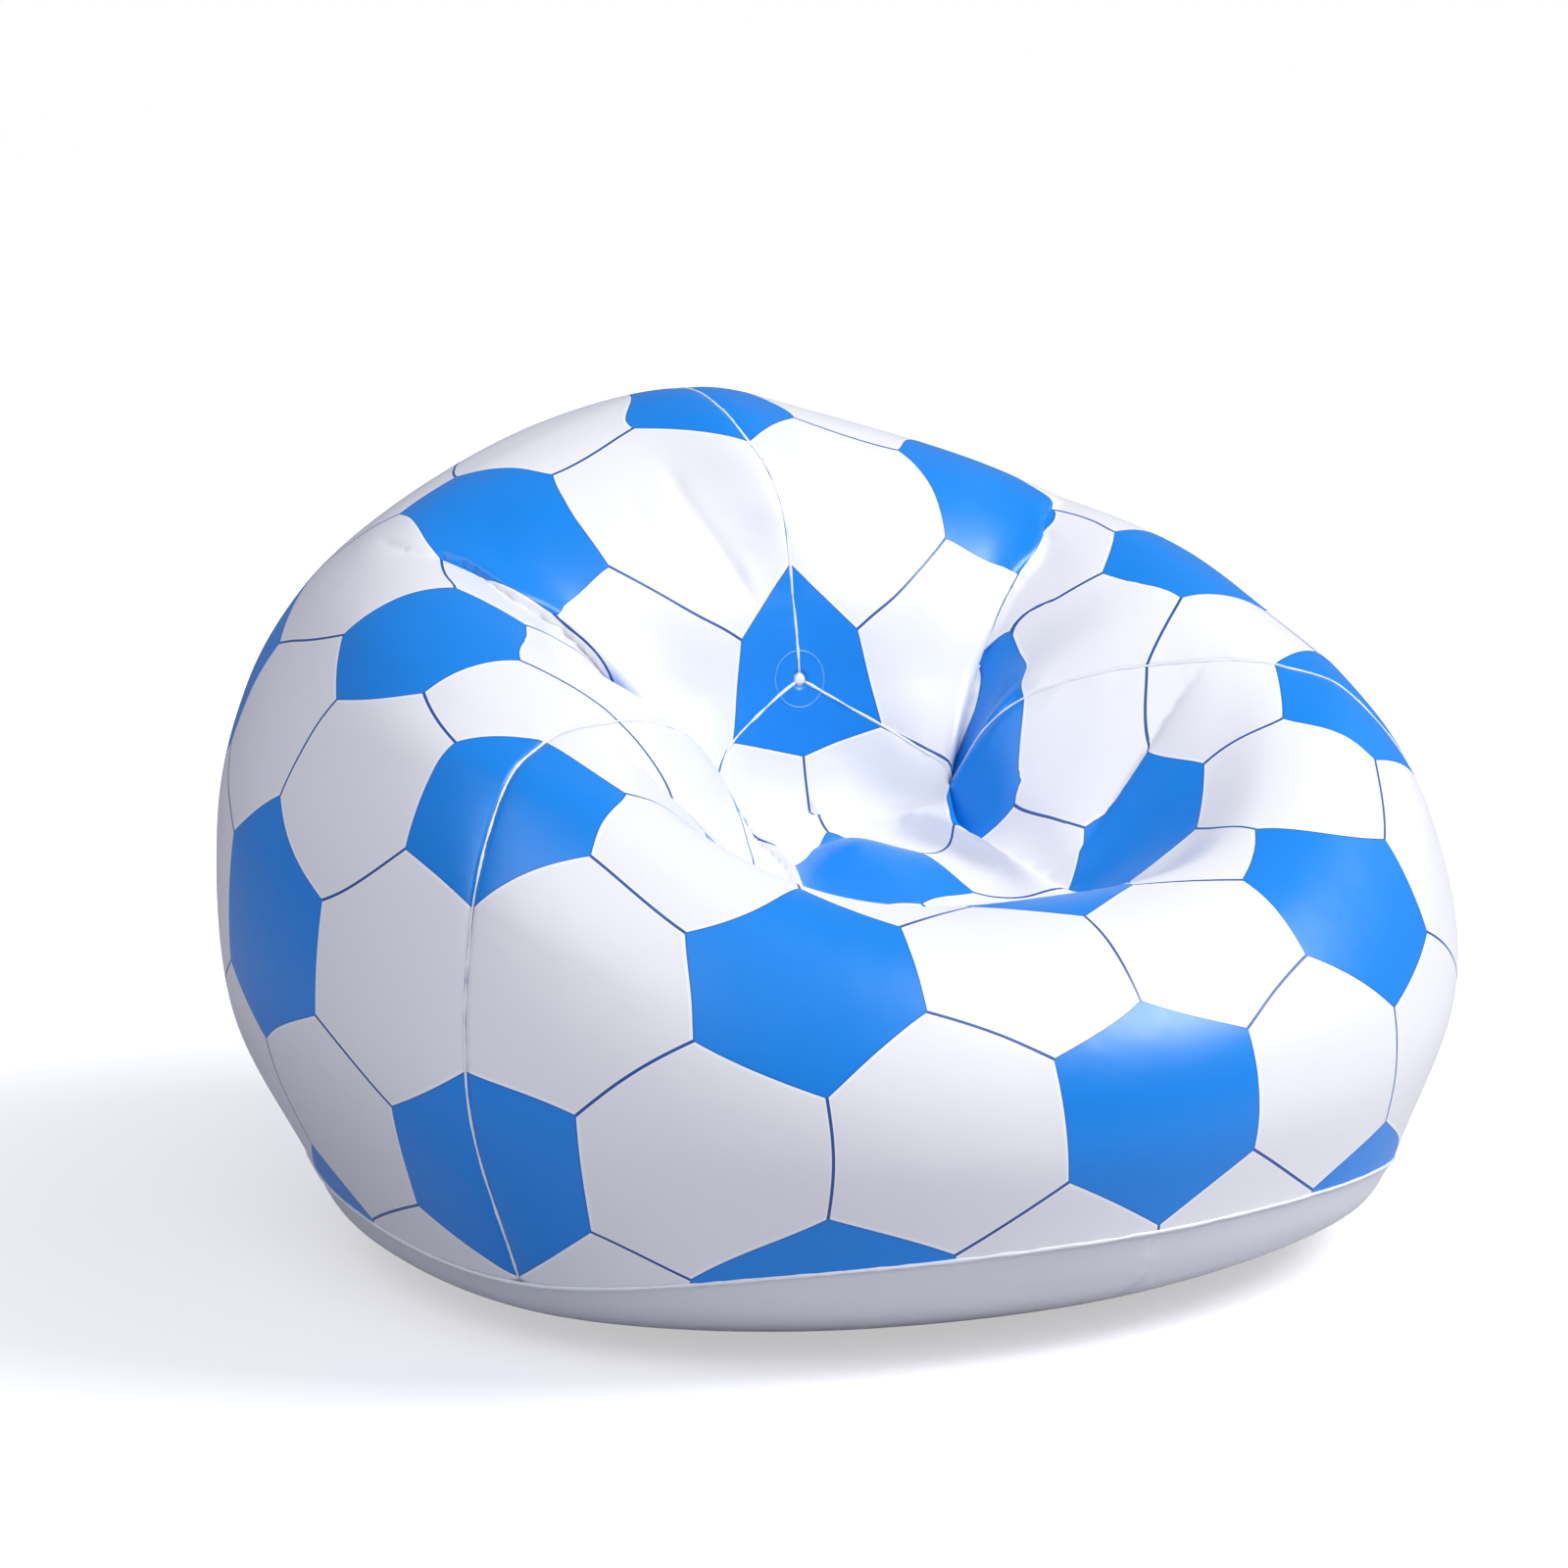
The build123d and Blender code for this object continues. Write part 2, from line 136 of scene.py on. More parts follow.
# The flat print at the apex gives way to the tables over these distances: out from the apex, in
# sides, and towards the back, in metres.
APEX_FADE = (1.0, 1.7)
BACK_FADE = (0.15, 0.2)
THIRD = 2.598             # distance between the print's lines of blue cells, in sides
APOTHEM = 0.866           # from the middle of a cell to the middle of its side, in sides
# Corners of the blue cell round the apex, from the front: sideways and up from the apex, mm.
CELL_CORNERS = [(0, -69), (77, -48), (60, 40), (0, 102), (-60, 40), (-77, -48)]
GORES = {"front_gore": (-60, 60), "right_gore": (60, 180), "left_gore": (180, 300)}


# ---- Nodes and cubic interpolation ------------------------------------------------------------
def apex_point(turn, radius):
    """A point of the flat disc round the apex."""
    lean = radians(APEX_LEAN)
    side = radius * sin(radians(turn))
    down = radius * cos(radians(turn))
    return (side, APEX_Y - down * sin(lean), APEX_HEIGHT - down * cos(lean))


def section_line(turn):
    """All points of the section at a turn, from the apex to the base seam."""
    turn = (turn + 180) % 360 - 180
    side = -1 if turn < 0 else 1
    line = [apex_point(turn, APEX_HOLE), apex_point(turn, PATCH_RADIUS)]
    for angle, reach, height in SECTIONS[abs(turn)]:
        line.append((side * reach * sin(radians(angle)),
                     APEX_Y - reach * cos(radians(angle)), height))
    return line


def base_line(turn):
    """Points of the base panel's section: a quarter of an ellipse from the seam to the flat."""
    seam = np.array(section_line(turn)[RING_ROW])
    around = np.arctan2(seam[0], -seam[1])
    flat = np.array((CONTACT_RADIUS * sin(around), -CONTACT_RADIUS * cos(around), 0))
    line = []
    for row in range(BASE_STEPS + 1):
        roll = pi / 2 * row / BASE_STEPS
        inward = seam + (flat - seam) * (1 - cos(roll))
        line.append((inward[0], inward[1], seam[2] * (1 - sin(roll))))
    return line


class Net:
    """A surface through nodes, closed all the way round, cubic both ways."""

    def __init__(self, line, flats):
        self.nodes = np.array([line(turn) for turn in range(0, 360, TURN_STEP)])
        across = (np.roll(self.nodes, -1, 0) - np.roll(self.nodes, 1, 0)) / 2
        self.across = self.flattened(across, flats)
        self.along = self.flattened(self.steps(self.nodes), flats)
        self.twist = self.flattened(self.steps(self.across), flats)

    @staticmethod
    def steps(grid):
        """Tangents along the sections: half the way between the neighbours."""
        out = np.empty_like(grid)
        out[:, 1:-1] = (grid[:, 2:] - grid[:, :-2]) / 2
        out[:, 0] = grid[:, 1] - grid[:, 0]
        out[:, -1] = grid[:, -1] - grid[:, -2]
        return out

    @staticmethod
    def flattened(grid, flats):
        """Tangents laid into the flat rows' planes."""
        grid = grid.copy()
        for row, normal in flats.items():
            grid[:, row] -= (grid[:, row] @ normal)[:, None] * normal
        return grid

    def at(self, turns, rows):
        """Points of the surface on a grid of turns and rows, in metres."""
        count, last = self.nodes.shape[0], self.nodes.shape[1] - 2
        u, v = np.asarray(turns) / TURN_STEP, np.asarray(rows)
        i, j = np.floor(u).astype(int), np.clip(np.floor(v).astype(int), 0, last)
        wide, tall = hermite(u - i), hermite(v - j)
        out = 0
        for side in (0, 1):
            for end in (0, 1):
                at = np.ix_((i + side) % count, j + end)
                p, s = wide[2 * side][:, None, None], wide[2 * side + 1][:, None, None]
                q, t = tall[2 * end][None, :, None], tall[2 * end + 1][None, :, None]
                out = out + p * q * self.nodes[at] + s * q * self.across[at] \
                    + p * t * self.along[at] + s * t * self.twist[at]
        return out / PER_METRE


def hermite(t):
    """Weights of a cubic's start, start slope, end and end slope."""
    return (2 * t ** 3 - 3 * t ** 2 + 1, t ** 3 - 2 * t ** 2 + t,
            -2 * t ** 3 + 3 * t ** 2, t ** 3 - t ** 2)


# A curve's slope stays under this many times the gentler rate beside it, plus this share of itself.
STEEPEST, SPARED = 2, 0.2


def smooth_through(places, values, wanted):
    """Cubic curve through values at uneven places, read at the wanted places."""
    places, values = np.asarray(places, float), np.asarray(values, float)
    column = (-1,) + (1,) * (values.ndim - 1)
    gaps = np.diff(places)
    rates = np.diff(values, axis=0) / gaps.reshape(column)
    slopes = np.empty_like(values)
    slopes[0], slopes[-1] = rates[0], rates[-1]
    before, after = gaps[:-1].reshape(column), gaps[1:].reshape(column)
    slopes[1:-1] = (rates[:-1] * after + rates[1:] * before) / (before + after)
    gentler = np.minimum(np.abs(rates[:-1]), np.abs(rates[1:]))
    steepest = STEEPEST * gentler + SPARED * np.abs(slopes[1:-1])
    slopes[1:-1] = np.clip(slopes[1:-1], -steepest, steepest)
    i = np.clip(np.searchsorted(places, wanted, "right") - 1, 0, len(places) - 2)
    weights = [w.reshape(column) for w in hermite((wanted - places[i]) / gaps[i])]
    gap = gaps[i].reshape(column)
    return (weights[0] * values[i] + weights[1] * gap * slopes[i]
            + weights[2] * values[i + 1] + weights[3] * gap * slopes[i + 1])


def smooth_step(values, start, end):
    """0 before start, 1 after end, smooth between."""
    share = np.clip((values - start) / (end - start), 0, 1)
    return share * share * (3 - 2 * share)


def lengths_along(line):
    """How far along a line of points each of them lies."""
    return np.concatenate([[0], np.cumsum(np.linalg.norm(np.diff(line, axis=0), axis=1))])


# ---- Print coordinates ------------------------------------------------------------------------
def on_seam(distance):
    """Place in the print of a point of the seam line."""
    for (x0, y0), (x1, y1) in zip(SEAM_LINE, SEAM_LINE[1:]):
        length = np.hypot(x1 - x0, y1 - y0)
        if distance <= length or (x1, y1) == SEAM_LINE[-1]:
            share = distance / length
            return (x0 + (x1 - x0) * share, y0 + (y1 - y0) * share)
        distance -= length


def tip_print(turn, middle):
    """Place in the print of the two innermost points of a section."""
    angle = radians(turn - middle)
    return [(r / APEX_SCALE * sin(angle), r / APEX_SCALE * cos(angle))
            for r in (APEX_HOLE, PATCH_RADIUS)]


def print_columns(middle):
    """Turns and print places of the sections of the gore round a middle turn, for X above 0."""
    columns = {}
    if middle == 0:
        for turn, line in FRONT_PRINT.items():
            columns[turn] = line
            columns[-turn] = [(-x, y) for x, y in line]
        edge = [on_seam(d) for d in SEAM_PRINT[60]]
        columns[60], columns[-60] = edge, [(-x, y) for x, y in edge]
    else:
        columns.update(SIDE_PRINT)
        columns[60] = [(-on_seam(d)[0], on_seam(d)[1]) for d in SEAM_PRINT[60]]
        columns[180] = [on_seam(d) for d in SEAM_PRINT[180]]
    turns = sorted(columns)
    return turns, np.array([tip_print(t, middle) + list(columns[t]) for t in turns])


def near_apex(points, middle):
    """Places in the print near the apex, where each third of a cell lies flat between corners."""
    side, up = points[..., 0] * PER_METRE, points[..., 2] * PER_METRE - APEX_HEIGHT
    got = np.zeros(points.shape[:-1] + (2,))
    best = np.full(points.shape[:-1], -np.inf)
    for k in range(6):
        a, b = (np.array(CELL_CORNERS[(k + e) % 6], float) for e in (0, 1))
        area = a[0] * b[1] - a[1] * b[0]
        first = (side * b[1] - up * b[0]) / area
        second = (up * a[0] - side * a[1]) / area
        flat = [(cos(radians(60 * (k + e) - middle)), sin(radians(60 * (k + e) - middle)))
                for e in (0, 1)]
        inside = np.minimum(first, second)
        here = inside > best
        best = np.where(here, inside, best)
        got[..., 1] = np.where(here, first * flat[0][0] + second * flat[1][0], got[..., 1])
        got[..., 0] = np.where(here, first * flat[0][1] + second * flat[1][1], got[..., 0])
    return got


def print_at(name, turns, rows, points):
    """Print places on a grid of turns and rows."""
    turns = np.asarray(turns, float)
    if name == "left_gore":
        places, table = print_columns(120)
        got = print_grid(places, table, 360 - turns, rows)
        got[..., 0] *= -1
    else:
        places, table = print_columns(120 if name == "right_gore" else 0)
        got = print_grid(places, table, turns, rows)
    for place, reach, slip in SLIPS:
        away = np.linalg.norm(points * PER_METRE - place, axis=-1)
        moved = np.array(slip) * ((-1, 1) if name == "left_gore" else (1, 1))
        got = got + np.exp(-(away / reach) ** 2)[..., None] * moved
    near = near_apex(points, sum(GORES[name]) / 2)
    wide, tall = np.abs(near[..., 0]), np.abs(near[..., 1])
    out = np.maximum(wide, wide / 2 + tall * APOTHEM)
    share = np.maximum(smooth_step(out, *APEX_FADE), smooth_step(points[..., 1], *BACK_FADE))
    share = share[..., None]
    return near * (1 - share) + got * share


FINE = 40                 # steps in each row where lengths are measured


def walked(turn, rows):
    """How far along a section each of its rows lies, in metres."""
    fine = np.linspace(0, RING_ROW, FINE * RING_ROW + 1)
    return np.interp(rows, fine, lengths_along(FILM_NET.at([turn], fine)[0]))


def print_grid(places, table, turns, rows):
    """Print places between those of the table, evenly along each section and then across."""
    lines = np.array([smooth_through(walked(place, range(table.shape[1])), line,
                                     walked(place, rows)) for place, line in zip(places, table)])
    order = np.argsort(turns)
    got = np.empty((len(turns), len(rows), 2))
    got[order] = smooth_through(places, lines, np.asarray(turns)[order])
    return got


def print_spread(points, prints):
    """How close together the print lies, squared, along and across it, in sides per mm."""
    wide, tall = (np.gradient(points * PER_METRE, axis=axis) for axis in (0, 1))
    first, second = (np.gradient(prints, axis=axis) for axis in (0, 1))
    ww, wt, tt = ((p * q).sum(-1) for p, q in ((wide, wide), (wide, tall), (tall, tall)))
    area = np.maximum(ww * tt - wt ** 2, 1e-9)

    def together(a, b):
        """How much two of the print's numbers, a and b, change with each other."""
        return (first[..., a] * first[..., b] * tt + second[..., a] * second[..., b] * ww
                - (first[..., a] * second[..., b] + first[..., b] * second[..., a]) * wt) / area

    return np.stack([together(0, 0), together(0, 1), together(1, 1)], -1)


# ---- Making meshes ----------------------------------------------------------------------------
FILM_NET = Net(section_line, {0: APEX_FACE, 1: APEX_FACE})
BASE_NET = Net(base_line, {BASE_STEPS: np.array((0, 0, -1.0))})
COLUMNS = 120             # steps across a gore
ROW_STEP = 0.0045         # distance of two rows along a section, m
CROWDING = 0.28           # how much closer together the columns lie at the seams
BASE_COLUMNS, BASE_ROWS, DISC_RINGS = 360, 25, 8
MERGE = 1e-5              # points closer than this are one, m
TURN_NUDGE, ROW_NUDGE = 0.3, 0.02     # half the spans over which a net's normals are taken


def even_rows(turn, last):
    """Rows so spaced that the points along a section are evenly apart."""
    fine = np.linspace(0, last, FINE * last + 1)
    lengths = lengths_along(FILM_NET.at([turn], fine)[0])
    count = int(lengths[-1] / ROW_STEP)
    return np.interp(np.linspace(0, lengths[-1], count + 1), lengths, fine)


ROWS = even_rows(60, RING_ROW)


def round_turns(count):
    """Turns evenly round the chair, without the last that meets the first."""
    return np.linspace(0, 360, count + 1)[:-1]


def gore_turns(first, last):
    """Turns across a gore, closer together towards its seams."""
    share = np.linspace(-1, 1, COLUMNS + 1)
    share = (1 - CROWDING) * share + CROWDING * np.sin(share * pi / 2)
    return (first + last) / 2 + share * (last - first) / 2


def grid_normals(points, closed=False):
    """Unit normals of a grid of points, pointing out of the chamber."""
    if closed:
        across = np.roll(points, -1, 0) - np.roll(points, 1, 0)
    else:
        across = np.gradient(points, axis=0)
    along = np.gradient(points, axis=1)
    normals = np.cross(along, across)
    return normals / np.maximum(np.linalg.norm(normals, axis=-1, keepdims=True), 1e-12)


def linked(name, data):
    """A new object of the scene."""
    made = bpy.data.objects.new(name, data)
    bpy.context.collection.objects.link(made)
    return made


def reworked(mesh, change):
    """Changes a mesh in Blender's editable form."""
    work = bmesh.new()
    work.from_mesh(mesh)
    change(work)
    work.to_mesh(mesh)
    work.free()


def film_faces(wide, tall):
    """Faces of two grids of points, back to back, and of the rim that joins them."""
    index = np.arange(wide * tall).reshape(wide, tall)
    a, b, c, d = index[:-1, :-1], index[1:, :-1], index[1:, 1:], index[:-1, 1:]
    faces = np.stack([a, d, c, b], -1).reshape(-1, 4)
    offset = wide * tall
    rim = np.concatenate([index[:, 0], index[-1, 1:], index[-2::-1, -1], index[0, -2:0:-1]])
    after = np.roll(rim, -1)
    sides = np.stack([rim, after, after + offset, rim + offset], -1)
    return np.concatenate([faces, faces[:, ::-1] + offset, sides]).tolist()


def add_print(mesh, prints, spread):
    """Gives both sides of a film their places in the print and its spread there."""
    flat = np.concatenate([prints.reshape(-1, 2)] * 2)
    corners = np.empty(len(mesh.loops), int)
    mesh.loops.foreach_get("vertex_index", corners)
    layer = mesh.uv_layers.new(name="print")
    layer.data.foreach_set("uv", flat[corners].ravel())
    held = mesh.attributes.new("spread", "FLOAT_VECTOR", "POINT")
    held.data.foreach_set("vector", np.concatenate([spread.reshape(-1, 3)] * 2).ravel())


def mesh_from_grids(name, outer, inner, prints=None, spread=None):
    """A thin closed film between two grids of points."""
    mesh = bpy.data.meshes.new(name)
    mesh.from_pydata(np.concatenate([outer.reshape(-1, 3), inner.reshape(-1, 3)]).tolist(),
                     [], film_faces(*outer.shape[:2]))
    if prints is not None:
        add_print(mesh, prints, spread)
    mesh.shade_smooth()
    return linked(name, mesh)


# ---- Creases, folds and gathers -----------------------------------------------------------------
# Each crease: the line of its bottom on the right half with its depth at each point, how wide
# its flanks are on either side, the way to the second side, and the way that it is tucked in at
# its start and at its end. All in millimetres.
CREASES = [
    ([(352, 160, 634, 3), (339, 121, 617, 8), (306, 93, 606, 14), (288, 67, 592, 18),
      (268, 49, 575, 22), (251, 45, 563, 24), (210, 28, 521, 30), (183, 17, 483, 34),
      (164, 5, 454, 38), (144, -12, 425, 42), (127, -28, 399, 44), (117, -39, 389, 44),
      (112, -66, 361, 40), (117, -96, 347, 34), (126, -130, 333, 24), (138, -180, 318, 12),
      (152, -230, 312, 2)], 17, 55, (0.8, -0.6, 0.1), (-0.45, 0.85, -0.3), (-0.2, 0.2, -0.95)),
    ([(310, -134, 490, 2), (264, -142, 461, 9), (237, -146, 435, 12), (210, -149, 407, 12),
      (182, -154, 374, 9), (158, -160, 342, 3)], 42, 42, (0, -1, 0), (0.5, -0.2, -0.6),
     (0.5, -0.2, -0.6)),
]
# Each soft fold: its line, half width and height; only those marked twice are on both halves.
FOLDS = [
    ([(0, 22, 356), (50, 8, 354), (95, -22, 352), (110, -70, 346), (112, -130, 338),
      (108, -190, 325), (90, -240, 316)], 15, 15, True),
    ([(-90, -12, 350), (0, -14, 350), (90, -12, 350)], 10, -4, False),
    ([(-78, 150, 680), (-75, 110, 642), (-64, 80, 610), (-48, 54, 566), (-40, 48, 545)],
     7, -3.5, False),
    ([(-128, 140, 662), (-119, 94, 622), (-112, 75, 600)], 6, -1.5, False),
]
# Height of the gathers along the seams at the front and at the back, row by row, mm.
GATHERS = {60: [0.2, 0.4, 1.0, 1.8, 2.2, 2.2, 2.0, 1.7, 1.3, 0.9, 0.7, 0.6, 0.5, 0.5, 0.8],
           180: [0.2, 0.3, 0.4, 0.5, 0.6, 0.6, 0.6, 0.6, 0.6, 0.5, 0.5, 0.5, 0.5, 0.6, 0.8]}
# Of each gather, the least and most: half width, reach off the seam, slant, share of the height
# and distance to the next, in metres.
GATHER_HALF, GATHER_REACH = (0.003, 0.007), (0.02, 0.075)
GATHER_SLANT, GATHER_SHARE, GATHER_STEP = (-0.3, 0.3), (-0.9, 1.0), (0.008, 0.02)
GATHER_START = 0.03       # distance of the first gather from the section's start, m
GATHER_SPREAD = 0.06      # how much wider a gather gets with each metre off the seam
GATHER_RISE = 0.005       # distance off the seam over which a gather rises, m
SEAM_DIP, DIP_REACH = 0.0018, 0.010   # how deep the film dips at a seam and how far off, m
DIP_ROWS = (1.2, 2.0)     # rows over which the dip starts, outside the apex patch
LEFT_DEPTH = 0.35         # share of a crease's depth on the left half, below LEFT_FADE
LEFT_FADE = (0.37, 0.44)  # heights over which the left crease gets its whole depth, m
FOLD_FADE, NO_FADE = 0.04, 0.0001     # length over which a fold rises at its ends, m
LAID_STEP = 0.006         # distance of the points of a line that is laid on the film, m
LAID_TURNS, LAID_ROWS = np.arange(0, 181, 1.5), 240   # where the film is probed for it
DICE = np.random.default_rng(7)


def line_distance(points, line):
    """Distance of points from a line of straight runs, the offset, how far along, its length."""
    best = np.full(points.shape[:-1], np.inf)
    offset = np.zeros(points.shape)
    along = np.zeros_like(best)
    passed = 0.0
    for start, end in zip(line, line[1:]):
        run = end - start
        length = np.linalg.norm(run)
        share = np.clip((points - start) @ run / length ** 2, 0, 1)
        away = points - start - share[..., None] * run
        gap = np.linalg.norm(away, axis=-1)
        nearer = gap < best
        along = np.where(nearer, passed + share * length, along)
        offset = np.where(nearer[..., None], away, offset)
        best = np.minimum(gap, best)
        passed += length
    return best, offset, along, passed


def laid(line):
    """A line drawn near the right half of the film, divided finely and laid on the film."""
    line = np.array(line, float) / PER_METRE
    steps = lengths_along(line)
    places = np.linspace(0, steps[-1], int(steps[-1] / LAID_STEP) + 2)
    fine = smooth_through(steps, line, places)
    rows = np.linspace(1, RING_ROW, LAID_ROWS)
    film = FILM_NET.at(LAID_TURNS, rows).reshape(-1, 3)
    facing = film_normals(FILM_NET, LAID_TURNS, rows, RING_ROW).reshape(-1, 3)
    nearest = np.linalg.norm(fine[:, None] - film[None], axis=-1).argmin(1)
    off = ((fine - film[nearest]) * facing[nearest]).sum(1, keepdims=True)
    return fine - facing[nearest] * off


def mirrored(vectors, points):
    """Vectors turned over for the points on the left half."""
    return vectors * np.where(points[..., :1] < 0, (-1, 1, 1), (1, 1, 1))


def crease_depth(points, line, share):
    """Depth of a crease at a share of its length, shallower low on the left half, in metres."""
    deep = np.interp(share, np.linspace(0, 1, len(line)), [p[3] for p in line]) / PER_METRE
    left = LEFT_DEPTH + (1 - LEFT_DEPTH) * smooth_step(points[..., 2], *LEFT_FADE)
    return deep * np.where(points[..., 0] < 0, left, 1)


def creased(points):
    """How far and which way the film is tucked in by the creases, in metres."""
    push = np.zeros(points.shape)
    most = np.zeros(points.shape[:-1])
    for line, first, second, across, start, end in CREASES:
        gap, offset, along, length = line_distance(mirrored(points, points),
                                                   laid([p[:3] for p in line]))
        share = along / length
        width = np.where(offset @ np.array(across) > 0, second, first) / PER_METRE
        near = np.clip(1 - gap / width, 0, 1)
        depth = crease_depth(points, line, share) * (1 - np.sqrt(1 - near ** 2))
        share = share[..., None]
        way = np.array(start) * (1 - share) + np.array(end) * share
        way = mirrored(way / np.linalg.norm(way, axis=-1, keepdims=True), points)
        deeper = depth > most
        push = np.where(deeper[..., None], way * depth[..., None], push)
        most = np.maximum(most, depth)
    return push


def folded(points):
    """Rise of the film over its soft folds, in metres; one that starts at X 0 has no start."""
    rise = np.zeros(points.shape[:-1])
    for line, half, height, twice in FOLDS:
        line = np.array(line) / PER_METRE
        gap, _, along, length = line_distance(mirrored(points, points) if twice else points, line)
        fade = FOLD_FADE if line[0, 0] else NO_FADE
        ends = smooth_step(along, 0, fade) * smooth_step(length - along, 0, FOLD_FADE)
        rise += height / PER_METRE * np.exp(-(gap / (half / PER_METRE)) ** 2) * ends
    return rise


def seam_gathers(along, off, sizes):
    """Rise of the short wrinkles that run away from one seam, in metres."""
    rise = np.zeros(off.shape)
    place = GATHER_START
    while place < along[-1]:
        row = np.interp(place, along, ROWS)
        size = np.interp(row, np.arange(len(sizes)), sizes) / PER_METRE
        half, reach = DICE.uniform(*GATHER_HALF), DICE.uniform(*GATHER_REACH)
        slant = DICE.uniform(*GATHER_SLANT)
        wide = half + off * GATHER_SPREAD
        near = np.exp(-((along[None] - place - slant * off) / wide) ** 2)
        fade = np.clip(off / GATHER_RISE, 0, 1) * np.clip(1 - off / reach, 0, 1) ** 1.5
        rise += DICE.uniform(*GATHER_SHARE) * size * near * fade
        place += DICE.uniform(*GATHER_STEP)
    return rise - SEAM_DIP * np.exp(-off / DIP_REACH) * smooth_step(ROWS, *DIP_ROWS)


def gathered(points, first, last):
    """Rise of the film along both seams of a gore, in metres."""
    rises = []
    for grid, seam in ((points, first), (points[::-1], last)):
        steps = np.linalg.norm(np.diff(grid, axis=0), axis=-1)
        off = np.concatenate([np.zeros((1, grid.shape[1])), np.cumsum(steps, 0)])
        sizes = GATHERS[180 if seam % 360 == 180 else 60]
        rises.append(seam_gathers(lengths_along(grid[0]), off, sizes))
    return rises[0] + rises[1][::-1]


def film_normals(net, turns, rows, last):
    """Unit normals of a net, out of the chamber."""
    turns = np.asarray(turns, float)
    across = net.at(turns + TURN_NUDGE, rows) - net.at(turns - TURN_NUDGE, rows)
    below, above = np.minimum(rows + ROW_NUDGE, last), np.maximum(rows - ROW_NUDGE, 0)
    along = net.at(turns, below) - net.at(turns, above)
    normals = np.cross(along, across)
    return normals / np.linalg.norm(normals, axis=-1, keepdims=True)


def dressed_film(name):
    """Turns across a gore, and the points of its film before and after it is creased."""
    first, last = GORES[name]
    turns = gore_turns(first, last)
    points = FILM_NET.at(turns, ROWS)
    normals = film_normals(FILM_NET, turns, ROWS, RING_ROW)
    lift = gathered(points, first, last) + folded(points)
    return turns, points, points + normals * lift[..., None] + creased(points)


# The valve's neck: where it stands, the way it points and the hole for it, in metres.
VALVE_PLACE = (0.11354, 0.47273, 0.20345)
VALVE_WAY = (0.216, 0.9404, -0.2627)
VALVE_HOLE = 0.0144       # radius


def cut_valve_hole(piece):
    """Opens both sides of the film round the valve's neck and joins their edges."""
    way, place = Vector(VALVE_WAY).normalized(), Vector(VALVE_PLACE)

    def from_axis(vertex):
        """The way from the neck's axis to a vertex."""
        off = vertex.co - place
        return off - way * off.dot(way)

    def opened(film):
        """Deletes what lies in the hole and joins the two rims that are left."""
        inside = [v for v in film.verts
                  if (v.co - place).length < 2 * VALVE_HOLE and from_axis(v).length < VALVE_HOLE]
        bmesh.ops.delete(film, geom=inside, context="VERTS")
        edges = [e for e in film.edges if e.is_boundary]
        for vertex in {v for edge in edges for v in edge.verts}:
            off = from_axis(vertex)
            vertex.co += off * (VALVE_HOLE / off.length - 1)
        bmesh.ops.bridge_loops(film, edges=edges)

    reworked(piece.data, opened)


SEAMS = {}                # the dressed film's points along each seam, filled as gores are made


def make_gore(name):
    """A printed panel of the chamber, in place of its solid."""
    turns, smooth, points = dressed_film(name)
    SEAMS[GORES[name][0] % 360] = points[0]
    normals = grid_normals(points)
    inner = points - normals * FILM / PER_METRE
    prints = print_at(name, turns, ROWS, smooth)
    piece = mesh_from_grids(name.replace("gore", "panel"), points, inner, prints,
                            print_spread(smooth, prints))
    if name == "right_gore":
        cut_valve_hole(piece)
    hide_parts(name)
    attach(piece, "chamber")
    return piece


def make_base():
    """The plain panel under the chamber, rolled in from the seam to a flat disc."""
    turns = round_turns(BASE_COLUMNS)
    points = BASE_NET.at(turns, np.linspace(0, BASE_STEPS, BASE_ROWS))
    middle = points[:, -1].mean(0)
    steps = np.linspace(0, 1, DISC_RINGS + 1)[1:, None, None]
    disc = points[:, -1] + (middle - points[:, -1]) * steps
    points = np.concatenate([points, disc.transpose(1, 0, 2)], 1)
    normals = grid_normals(points, closed=True)
    normals[:, -DISC_RINGS - 1:] = (0, 0, -1)
    points = np.concatenate([points, points[:1]])
    normals = np.concatenate([normals, normals[:1]])
    piece = mesh_from_grids("bottom_panel", points, points - normals * FILM / PER_METRE)
    reworked(piece.data,
             lambda work: bmesh.ops.remove_doubles(work, verts=work.verts, dist=MERGE))
    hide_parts("base_panel")
    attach(piece, "chamber")
    return piece


BEAD_SIDES = 8
BEAD_UNDER = 0.35         # how far a bead reaches down into the film, as a share of its rise
BEAD_DRIFT = 0.12         # how far it wanders sideways, as a share of its width
BEAD_LIFT = 0.0001        # how far a seam's bead stands off the film, m
BASE_BEAD_STEPS, APEX_BEAD_STEPS = 720, 96
# Of each kind of bead: width and rise in metres, and how ragged it is.
SEAM_BEAD = (0.0024, 0.0009, 0.6)
BASE_BEAD = (0.0032, 0.0014, 0.4)
APEX_BEAD = (0.0016, 0.0005, 0.1)


def bead_faces(count, closed):
    """Faces of a tube of rings, open or joined end to end."""
    index = np.arange(count * BEAD_SIDES).reshape(count, BEAD_SIDES)
    here = index if closed else index[:-1]
    there = np.roll(index, -1, 0) if closed else index[1:]
    faces = np.stack([here, np.roll(here, -1, 1), np.roll(there, -1, 1), there], -1)
    faces = faces.reshape(-1, 4).tolist()
    if not closed:
        faces += [index[0][::-1].tolist(), index[-1].tolist()]
    return faces


